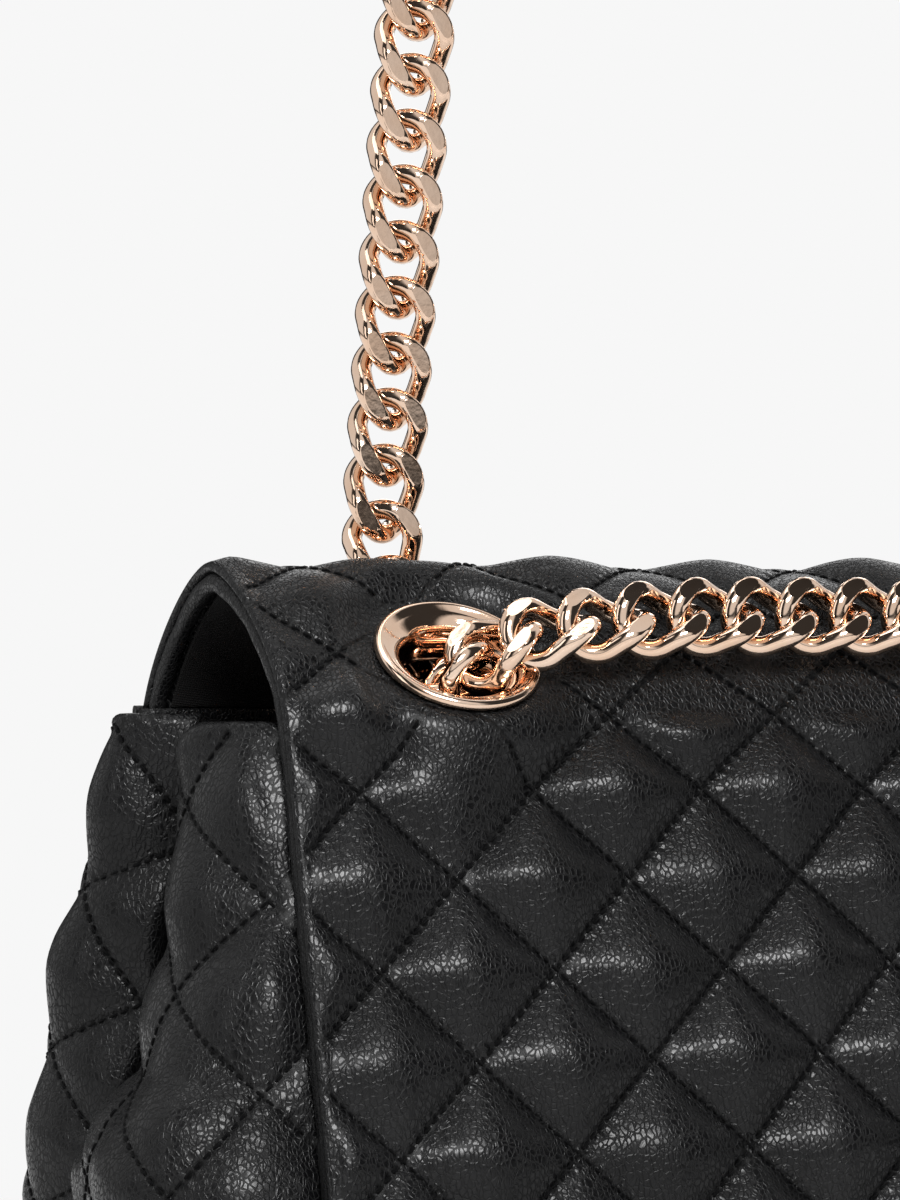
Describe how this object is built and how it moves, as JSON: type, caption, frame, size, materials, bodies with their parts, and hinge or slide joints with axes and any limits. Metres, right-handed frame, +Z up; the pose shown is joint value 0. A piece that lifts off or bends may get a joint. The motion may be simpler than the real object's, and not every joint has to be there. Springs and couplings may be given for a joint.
{
  "type": "chain shoulder bag",
  "caption": "Quilted black leather shoulder bag with a padded front flap and a long rose-gold curb chain strap running through round eyelets.",
  "frame": {"origin": "centre of the base, on the surface that the bag stands on", "axes": "+X to the bag's right seen from the front, +Y to the back, +Z up"},
  "size_m": [0.316, 0.1193, 0.6014],
  "materials": {
    "leather": "grained black, soft sheen",
    "cloth": "matte dark lining",
    "metal": "polished light rose gold",
    "board": "grey-brown fibre board"
  },
  "bodies": {
    "bag_body": {"front_shell": "leather", "back_shell": "leather", "left_gusset": "leather", "right_gusset": "leather", "base_panel": "leather", "base_board": "board", "front_lining": "cloth", "back_lining": "cloth", "base_lining": "cloth", "left_gusset_lining": "cloth", "right_gusset_lining": "cloth", "front_facing": "leather", "back_facing": "leather", "slip_pocket": "cloth", "snap_socket": "metal", "snap_socket_washer": "metal"},
    "flap": {"flap_outer": "leather", "flap_lining": "cloth", "flap_bindings": "leather", "snap_stud": "metal", "snap_stud_washer": "metal", "front_left_eyelet": "metal", "front_right_eyelet": "metal", "rear_left_eyelet": "metal", "rear_right_eyelet": "metal", "eyelet_washers": "metal", "front_chain": "metal", "left_inner_chain": "metal", "right_inner_chain": "metal"},
    "strap_lower": {"left_strap_lower": "metal", "right_strap_lower": "metal"},
    "strap_middle": {"left_strap_middle": "metal", "right_strap_middle": "metal"},
    "strap_upper": {"left_strap_upper": "metal", "right_strap_upper": "metal"},
    "strap_crown": {"strap_crown": "metal"}
  },
  "joints": [
    {"name": "flap_hinge", "type": "hinge", "parent": "bag_body", "child": "flap", "pos_m": [0, 0.032, 0.177], "axis": [-1, 0, 0], "range_deg": [0, 110]},
    {"name": "strap_foot", "type": "hinge", "parent": "flap", "child": "strap_lower", "pos_m": [0, 0.02584, 0.21287], "axis": [1, 0, 0], "range_deg": [-25, 15]},
    {"name": "strap_lower_bend", "type": "hinge", "parent": "strap_lower", "child": "strap_middle", "pos_m": [0, 0.02584, 0.31956], "axis": [1, 0, 0], "range_deg": [-25, 25]},
    {"name": "strap_upper_bend", "type": "hinge", "parent": "strap_middle", "child": "strap_upper", "pos_m": [0, 0.02584, 0.42626], "axis": [1, 0, 0], "range_deg": [-25, 25]},
    {"name": "strap_neck", "type": "hinge", "parent": "strap_upper", "child": "strap_crown", "pos_m": [0, 0.02584, 0.53296], "axis": [1, 0, 0], "range_deg": [-18, 18]}
  ]
}
